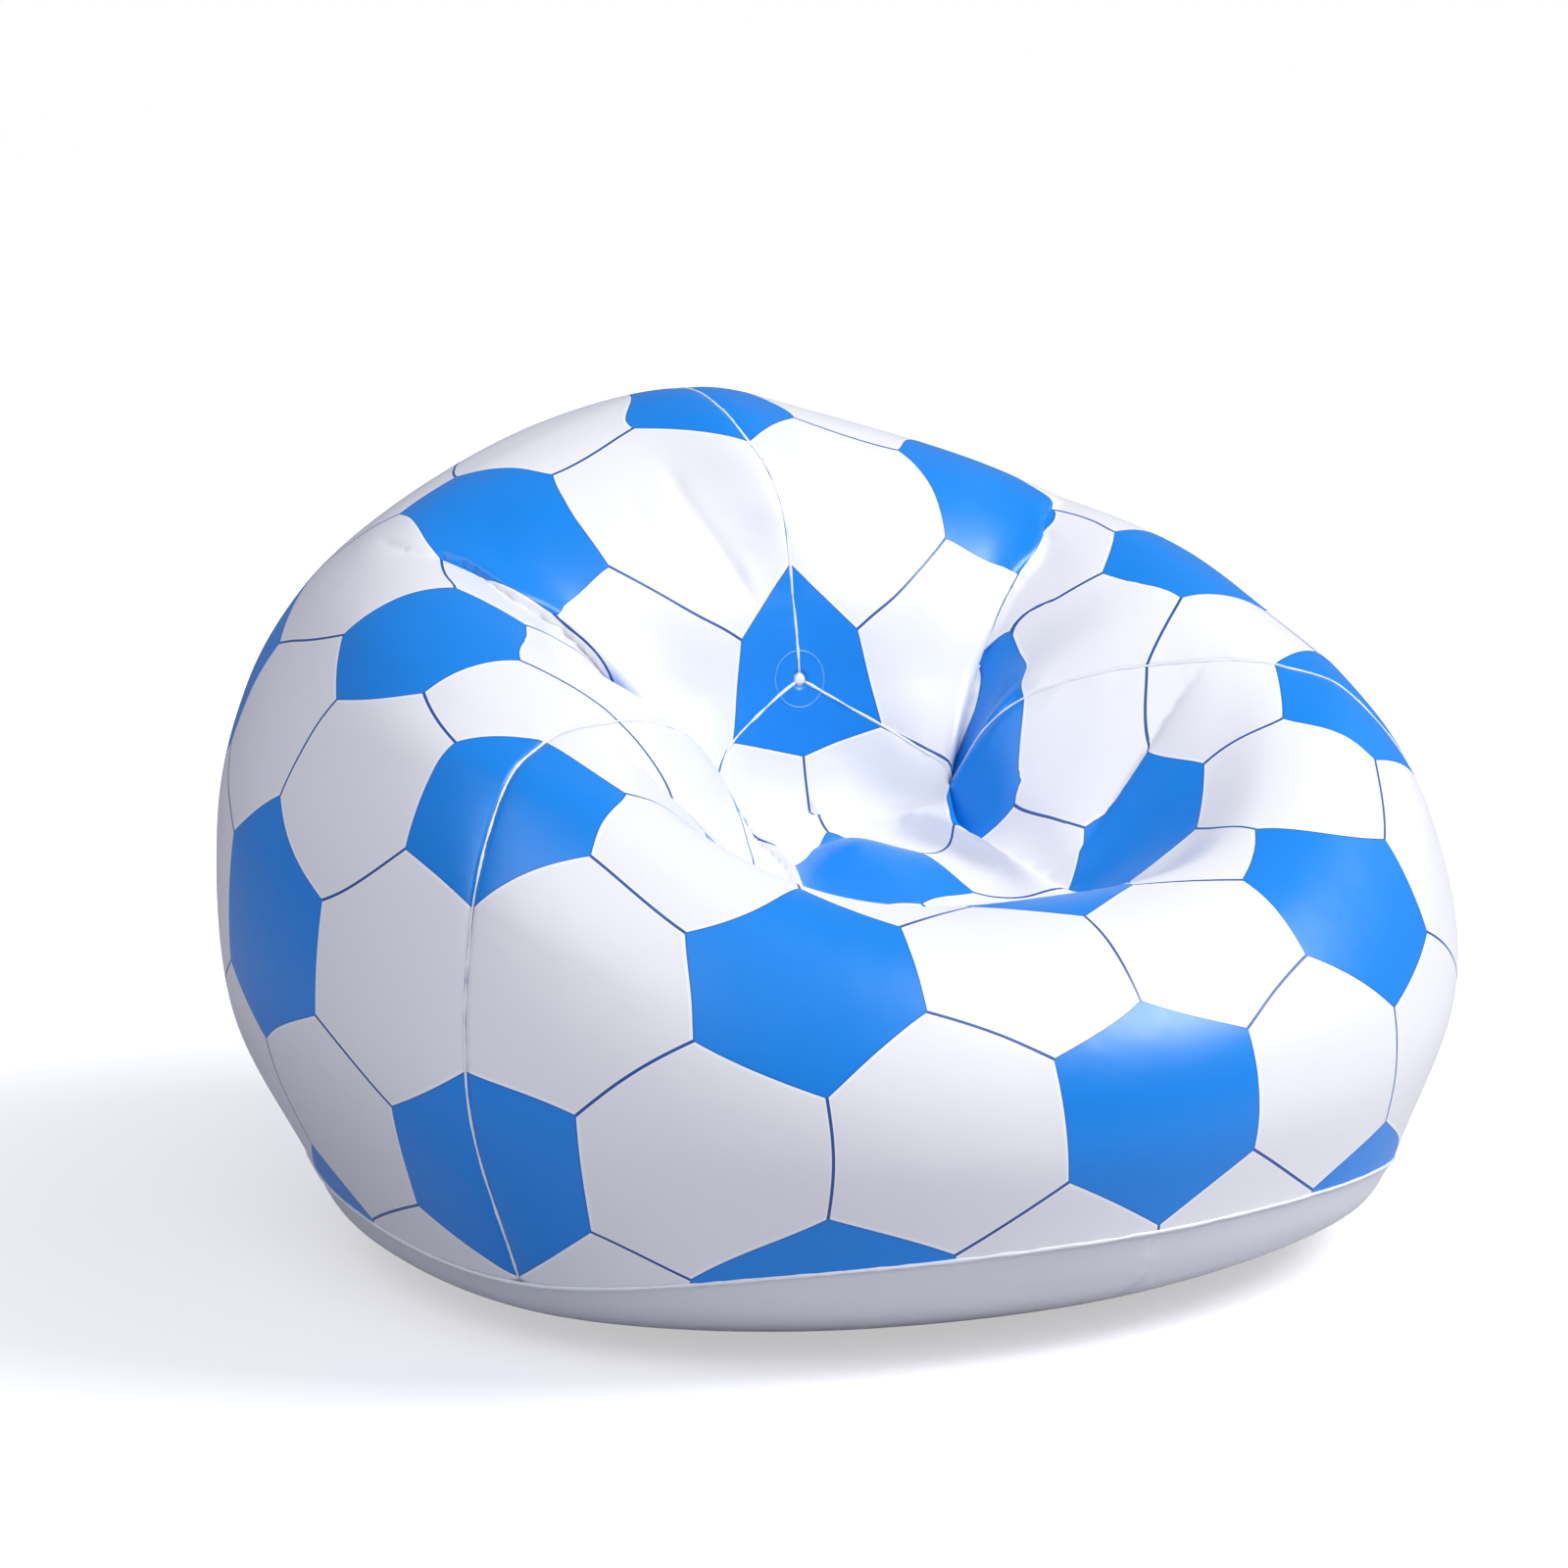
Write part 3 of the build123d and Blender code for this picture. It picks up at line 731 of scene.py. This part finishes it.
def make_weld(name, line, normals, bead, closed=False):
    """A raised weld bead along a line on the film, a little ragged, in metres."""
    wide, tall, ragged = bead
    count = len(line)
    ahead = np.roll(line, -1, 0) - np.roll(line, 1, 0) if closed else np.gradient(line, axis=0)
    ahead /= np.linalg.norm(ahead, axis=1, keepdims=True)
    side = np.cross(ahead, normals)
    side /= np.linalg.norm(side, axis=1, keepdims=True)
    up = np.cross(side, ahead)
    rough = np.array([np.convolve(DICE.uniform(-1, 1, count + 4), np.ones(3) / 3, "same")[2:-2]
                      for _ in range(3)])
    half = wide / 2 * (1 + ragged * rough[0])
    rise = tall * (1 + ragged * rough[1])
    drift = wide * BEAD_DRIFT * rough[2]
    rings = []
    for k in range(BEAD_SIDES):
        angle = 2 * pi * k / BEAD_SIDES
        out = half * cos(angle) + drift
        lift = rise * (sin(angle) if sin(angle) > 0 else BEAD_UNDER * sin(angle))
        rings.append(line + side * out[:, None] + up * lift[:, None])
    points = np.stack(rings, 1).reshape(-1, 3)
    return plain_piece(name, points, bead_faces(count, closed))


def plain_piece(name, points, faces):
    """A closed mesh of plain vinyl that rides on the chamber."""
    mesh = bpy.data.meshes.new(name)
    mesh.from_pydata(np.asarray(points).tolist(), [], faces)
    reworked(mesh, lambda work: bmesh.ops.recalc_face_normals(work, faces=work.faces))
    mesh.shade_smooth()
    piece = linked(name, mesh)
    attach(piece, "chamber")
    return piece


def make_welds():
    """The beads along the three seams, the base seam and the round weld at the apex."""
    beads = []
    for turn, name in ((60, "right_front_weld"), (180, "back_weld"), (300, "left_front_weld")):
        normals = film_normals(FILM_NET, [turn], ROWS, RING_ROW)[0]
        beads.append(make_weld(name, SEAMS[turn] + normals * BEAD_LIFT, normals,
                               SEAM_BEAD))
    ring = FILM_NET.at(round_turns(BASE_BEAD_STEPS), [RING_ROW])[:, 0]
    out = ring * (1, 1, 0)
    out /= np.linalg.norm(out, axis=1, keepdims=True)
    beads.append(make_weld("base_weld", ring, out, BASE_BEAD, closed=True))
    circle = np.array([apex_point(turn, PATCH_RADIUS) for turn in round_turns(APEX_BEAD_STEPS)])
    facing = np.tile(APEX_FACE, (len(circle), 1))
    ring = make_weld("apex_ring_weld", circle / PER_METRE, facing, APEX_BEAD, closed=True)
    return beads, ring


BUTTON_RADIUS, BUTTON_HEIGHT = 0.0052, 0.0018
BUTTON_RINGS, BUTTON_SIDES = 6, 24
# Lobes that make the button uneven: height as a share of the radius, how many, first one's turn.
BUTTON_LOBES = [(0.10, 3, 1.6), (0.05, 7, 0)]


def make_apex_button():
    """The lump of vinyl where the three seams meet."""
    middle = np.array((0, APEX_Y, APEX_HEIGHT)) / PER_METRE
    side = np.array((1, 0, 0))
    up = np.cross(APEX_FACE, side)
    points, faces = [], []
    for ring in range(BUTTON_RINGS):
        tilt = pi / 2 * (1 - ring / BUTTON_RINGS)
        for k in range(BUTTON_SIDES):
            angle = 2 * pi * k / BUTTON_SIDES
            lobes = 1 + sum(high * cos(count * angle + start)
                            for high, count, start in BUTTON_LOBES)
            reach = BUTTON_RADIUS * sin(tilt) * lobes
            points.append(middle + reach * (cos(angle) * side + sin(angle) * up)
                          + APEX_FACE * BUTTON_HEIGHT * cos(tilt))
    points.append(middle + APEX_FACE * BUTTON_HEIGHT)
    top = (BUTTON_RINGS - 1) * BUTTON_SIDES
    for start in range(0, top, BUTTON_SIDES):
        for k in range(BUTTON_SIDES):
            a, b = start + k, start + (k + 1) % BUTTON_SIDES
            faces.append([a, b, b + BUTTON_SIDES, a + BUTTON_SIDES])
    faces += [[top + k, top + (k + 1) % BUTTON_SIDES, top + BUTTON_SIDES]
              for k in range(BUTTON_SIDES)]
    faces.append(list(range(BUTTON_SIDES))[::-1])
    return plain_piece("apex_button", points, faces)


# ---- Shader maths -----------------------------------------------------------------------------
class Wire:
    """A shader value that takes Python's own arithmetic."""

    def __init__(self, paint, socket):
        self.paint, self.socket = paint, socket

    def _with(self, kind, *others):
        return self.paint.maths(kind, self, *others)

    def __add__(self, other): return self._with("ADD", other)
    def __sub__(self, other): return self._with("SUBTRACT", other)
    def __mul__(self, other): return self._with("MULTIPLY", other)
    def __truediv__(self, other): return self._with("DIVIDE", other)
    def __abs__(self): return self._with("ABSOLUTE")

    def root(self): return self._with("SQRT")
    def least(self, other): return self._with("MINIMUM", other)
    def most(self, other): return self._with("MAXIMUM", other)
    def wrapped(self, half): return self._with("WRAP", half, -half)

    def step(self, start, end):
        """0 before start, 1 after end, smooth between; start may be the larger."""
        share = (self - start) / (end - start)
        clamped = share.least(1.0).most(0.0)
        return clamped * clamped * (clamped * -2.0 + 3.0)


class Paint:
    """A material made of nodes."""

    def __init__(self, name):
        self.material = bpy.data.materials.new(name)
        self.material.use_nodes = True
        self.tree = self.material.node_tree
        self.surface = self.tree.nodes["Principled BSDF"]

    def node(self, kind, inputs=(), output=0, **settings):
        """Adds a node, sets it up, joins or sets its inputs, and gives one output."""
        made = self.tree.nodes.new(kind)
        for key, value in settings.items():
            setattr(made, key, value)
        for key, value in dict(inputs).items():
            if isinstance(value, Wire):
                self.tree.links.new(value.socket, made.inputs[key])
            else:
                made.inputs[key].default_value = value
        return Wire(self, made.outputs[output])

    def parts(self, vector):
        """The three numbers of a vector."""
        made = self.tree.nodes.new("ShaderNodeSeparateXYZ")
        self.tree.links.new(vector.socket, made.inputs[0])
        return [Wire(self, socket) for socket in made.outputs]

    def maths(self, kind, *values):
        """One step of arithmetic."""
        return self.node("ShaderNodeMath", dict(enumerate(values)), operation=kind)

    def noise(self, scale, detail):
        """Even cloudy noise from 0 to 1."""
        return self.node("ShaderNodeTexNoise", {"Vector": self.place(), "Scale": scale,
                                                "Detail": detail, "Roughness": 0.5})

    def place(self):
        """Where a point lies on its piece, in metres."""
        return self.node("ShaderNodeTexCoord", output="Object")

    def mix(self, share, first, second):
        """Blends two colours, by the mixer's sockets for colours."""
        return self.node("ShaderNodeMix", {0: share, 6: first, 7: second}, output=2,
                         data_type="RGBA")

    def bump(self, height, distance, before=None):
        """Normals bent by a height, on top of those bent before."""
        inputs = {"Height": height, "Distance": distance, "Strength": 1.0}
        if before:
            inputs["Normal"] = before
        return self.node("ShaderNodeBump", inputs)

    def finish(self, **inputs):
        """Sets or joins the surface's inputs and gives the material."""
        for key, value in inputs.items():
            socket = self.surface.inputs[key.replace("_", " ")]
            if isinstance(value, Wire):
                self.tree.links.new(value.socket, socket)
            else:
                socket.default_value = value
        return self.material


WHITE = (0.86, 0.86, 0.88, 1)
BLUE = (0.0, 0.24, 0.80, 1)
EDGE = (0.0, 0.15, 0.56, 1)
NAVY = (0.02, 0.09, 0.34, 1)
PALE = (0.94, 0.94, 0.96, 1)
PLAIN_WHITE = (0.80, 0.80, 0.84, 1)
# Where the print's colours start and are whole, in mm out of a blue cell or off a line.
CELL_EDGE, EDGE_BAND = (0.2, -0.2), (-1.5, -0.9)
LINE, HALO = (1.5, 1.1), (3.2, 1.6)


def football(paint):
    """How far out of a blue cell, and how far from a line, a point of the print lies, in mm."""
    uv = paint.node("ShaderNodeUVMap", uv_map="print")
    x, y, _ = paint.parts(uv)
    spread = paint.node("ShaderNodeAttribute", output="Vector", attribute_name="spread")
    wide, both, tall = paint.parts(spread)
    ways = [(cos(radians(angle)), sin(radians(angle))) for angle in (0, 60, 120)]
    scales = [(wide * (c * c) + both * (2 * c * s) + tall * (s * s)).root() for c, s in ways]
    cells = []
    for middle, row in ((0.0, 0.0), (THIRD, 1.5)):
        side, up = (x - middle).wrapped(THIRD), (y - row).wrapped(1.5)
        gaps = [(abs(side * c + up * s) - APOTHEM) / scale for (c, s), scale in zip(ways, scales)]
        cells.append(gaps[0].most(gaps[1]).most(gaps[2]))
    lines = [abs((x * c + y * s).wrapped(THIRD / 2)) / scale for (c, s), scale in zip(ways, scales)]
    return cells[0].least(cells[1]), lines[0].least(lines[1]).least(lines[2])


def clouded(paint, colour, darker, scale):
    """A colour that is faintly darker in patches."""
    return paint.mix(paint.noise(scale, 3), colour, tuple(c * darker for c in colour[:3]) + (1,))


def printed_vinyl():
    """Glossy film with the football's cells and lines."""
    paint = Paint("printed_vinyl")
    outside, line = football(paint)
    blue = paint.mix(outside.step(*EDGE_BAND), clouded(paint, BLUE, 0.94, 7), EDGE)
    haloed = paint.mix(line.least(outside).step(*HALO), WHITE, PALE)
    lined = paint.mix(line.step(*LINE), haloed, NAVY)
    colour = paint.mix(outside.step(*CELL_EDGE), lined, blue)
    grain = paint.bump(paint.noise(900, 2), 0.00002)
    waves = paint.bump(paint.noise(22, 2), 0.0006, before=grain)
    return paint.finish(Base_Color=colour, Roughness=paint.noise(40, 3) * 0.10 + 0.30,
                        Normal=waves)


def plain_vinyl(name, colour):
    """Film or a weld of one colour."""
    paint = Paint(name)
    return paint.finish(Base_Color=clouded(paint, colour, 0.95, 9),
                        Roughness=paint.noise(40, 3) * 0.10 + 0.32,
                        Normal=paint.bump(paint.noise(25, 2), 0.0005))


def valve_plastic():
    """Soft clear-white moulded vinyl, smoother than the film."""
    paint = Paint("valve_plastic")
    tinted = paint.mix(paint.noise(120, 2), (0.83, 0.84, 0.86, 1), (0.76, 0.78, 0.81, 1))
    return paint.finish(Base_Color=tinted, Roughness=paint.noise(300, 2) * 0.12 + 0.22,
                        Normal=paint.bump(paint.noise(600, 2), 0.00003))


# ---- Scene ------------------------------------------------------------------------------------
CAMERA_TURN, CAMERA_RISE, CAMERA_ROLL = -30.84, 9.36, -1.04
CAMERA_AIM, CAMERA_AWAY = (0, 0.075, 0.385), 3.852
SENSOR, LENS = 36, 99     # mm
FLOOR_HALF = 40           # half the floor's side, m
FLOOR_COLOUR, SKY_COLOUR = (0.6, 0.6, 0.62, 1), (0.26, 0.27, 0.34, 1)
BLACK, FULL_WHITE = (0, 0, 0, 1), (1, 1, 1, 1)


def camera_axes():
    """The camera's right, up and back."""
    turn, rise, roll = radians(CAMERA_TURN), radians(CAMERA_RISE), radians(CAMERA_ROLL)
    back = Vector((sin(turn) * cos(rise), -cos(turn) * cos(rise), sin(rise)))
    right = Vector((cos(turn), sin(turn), 0))
    up = back.cross(right)
    return right * cos(roll) + up * sin(roll), up * cos(roll) - right * sin(roll), back


def add_camera():
    """The camera, looking at the chair from the front and its right arm's side."""
    right, up, back = camera_axes()
    data = bpy.data.cameras.new("camera")
    data.sensor_width, data.lens = SENSOR, LENS
    camera = linked("camera", data)
    place = Vector(CAMERA_AIM) + back * CAMERA_AWAY
    camera.matrix_world = Matrix.Translation(place) @ Matrix((right, up, back)).transposed().to_4x4()
    bpy.context.scene.camera = camera


def add_light(name, place, aim, size, power):
    """A square white panel that lights towards a point."""
    data = bpy.data.lights.new(name, "AREA")
    data.shape, data.size, data.energy = "SQUARE", size, power
    light = linked(name, data)
    light.location = place
    light.rotation_euler = (Vector(aim) - Vector(place)).to_track_quat("-Z", "Y").to_euler()


def add_floor():
    """A floor that catches the shadow and glows white to the camera, fully far away."""
    paint = Paint("studio_floor")
    seen = paint.node("ShaderNodeLightPath", output="Is Camera Ray")
    away = paint.node("ShaderNodeVectorMath", {0: paint.place()}, output="Value",
                      operation="LENGTH")
    glow = paint.maths("MULTIPLY", seen, away.step(0.5, 2.2) * 0.5 + 0.5)
    paint.finish(Base_Color=FLOOR_COLOUR, Roughness=0.9,
                 Emission_Color=paint.mix(glow, BLACK, FULL_WHITE), Emission_Strength=1.0)
    mesh = bpy.data.meshes.new("studio_floor")
    corners = [(x * FLOOR_HALF, y * FLOOR_HALF, 0) for x, y in ((-1, -1), (1, -1), (1, 1), (-1, 1))]
    mesh.from_pydata(corners, [], [(0, 1, 2, 3)])
    floor = linked("studio_floor", mesh)
    floor.data.materials.append(paint.material)


def add_world():
    """A sky that lights softly and shows white to the camera."""
    world = bpy.data.worlds.new("studio")
    world.use_nodes = True
    bpy.context.scene.world = world
    nodes, links = world.node_tree.nodes, world.node_tree.links
    glow = nodes["Background"]
    path = nodes.new("ShaderNodeLightPath")
    seen = nodes.new("ShaderNodeMix")
    seen.data_type = "RGBA"
    seen.inputs[6].default_value = SKY_COLOUR
    seen.inputs[7].default_value = FULL_WHITE
    links.new(path.outputs["Is Camera Ray"], seen.inputs[0])
    links.new(seen.outputs[2], glow.inputs["Color"])


bpy.context.scene.view_settings.view_transform = "Standard"
PRINTED, PLAIN = printed_vinyl(), plain_vinyl("plain_vinyl", PLAIN_WHITE)
for gore_name in GORES:
    make_gore(gore_name).data.materials.append(PRINTED)
make_base().data.materials.append(PLAIN)
INNER = plain_vinyl("inner_vinyl", (0.74, 0.75, 0.78, 1))
VALVE = valve_plastic()
for node in ("apex_patch", "foot_patch", "tether", "valve_flange", "valve_plug", "valve_flap",
             "valve_cap"):
    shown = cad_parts[node]
    shown.data.materials.clear()
    shown.data.materials.append(VALVE if node.startswith("valve") else INNER)
WELD = plain_vinyl("weld_vinyl", (0.90, 0.92, 0.95, 1))
RING = plain_vinyl("ring_weld", (0.10, 0.38, 0.86, 1))
beads, round_bead = make_welds()
for bead in beads + [make_apex_button()]:
    bead.data.materials.append(WELD)
round_bead.data.materials.append(RING)
add_camera()
add_floor()
add_world()
add_light("key", (2.6, -2.4, 3.2), (0, 0, 0.4), 1.8, 165)
add_light("fill", (-2.2, -1.6, 3.4), (0, 0, 0.3), 3.0, 62)
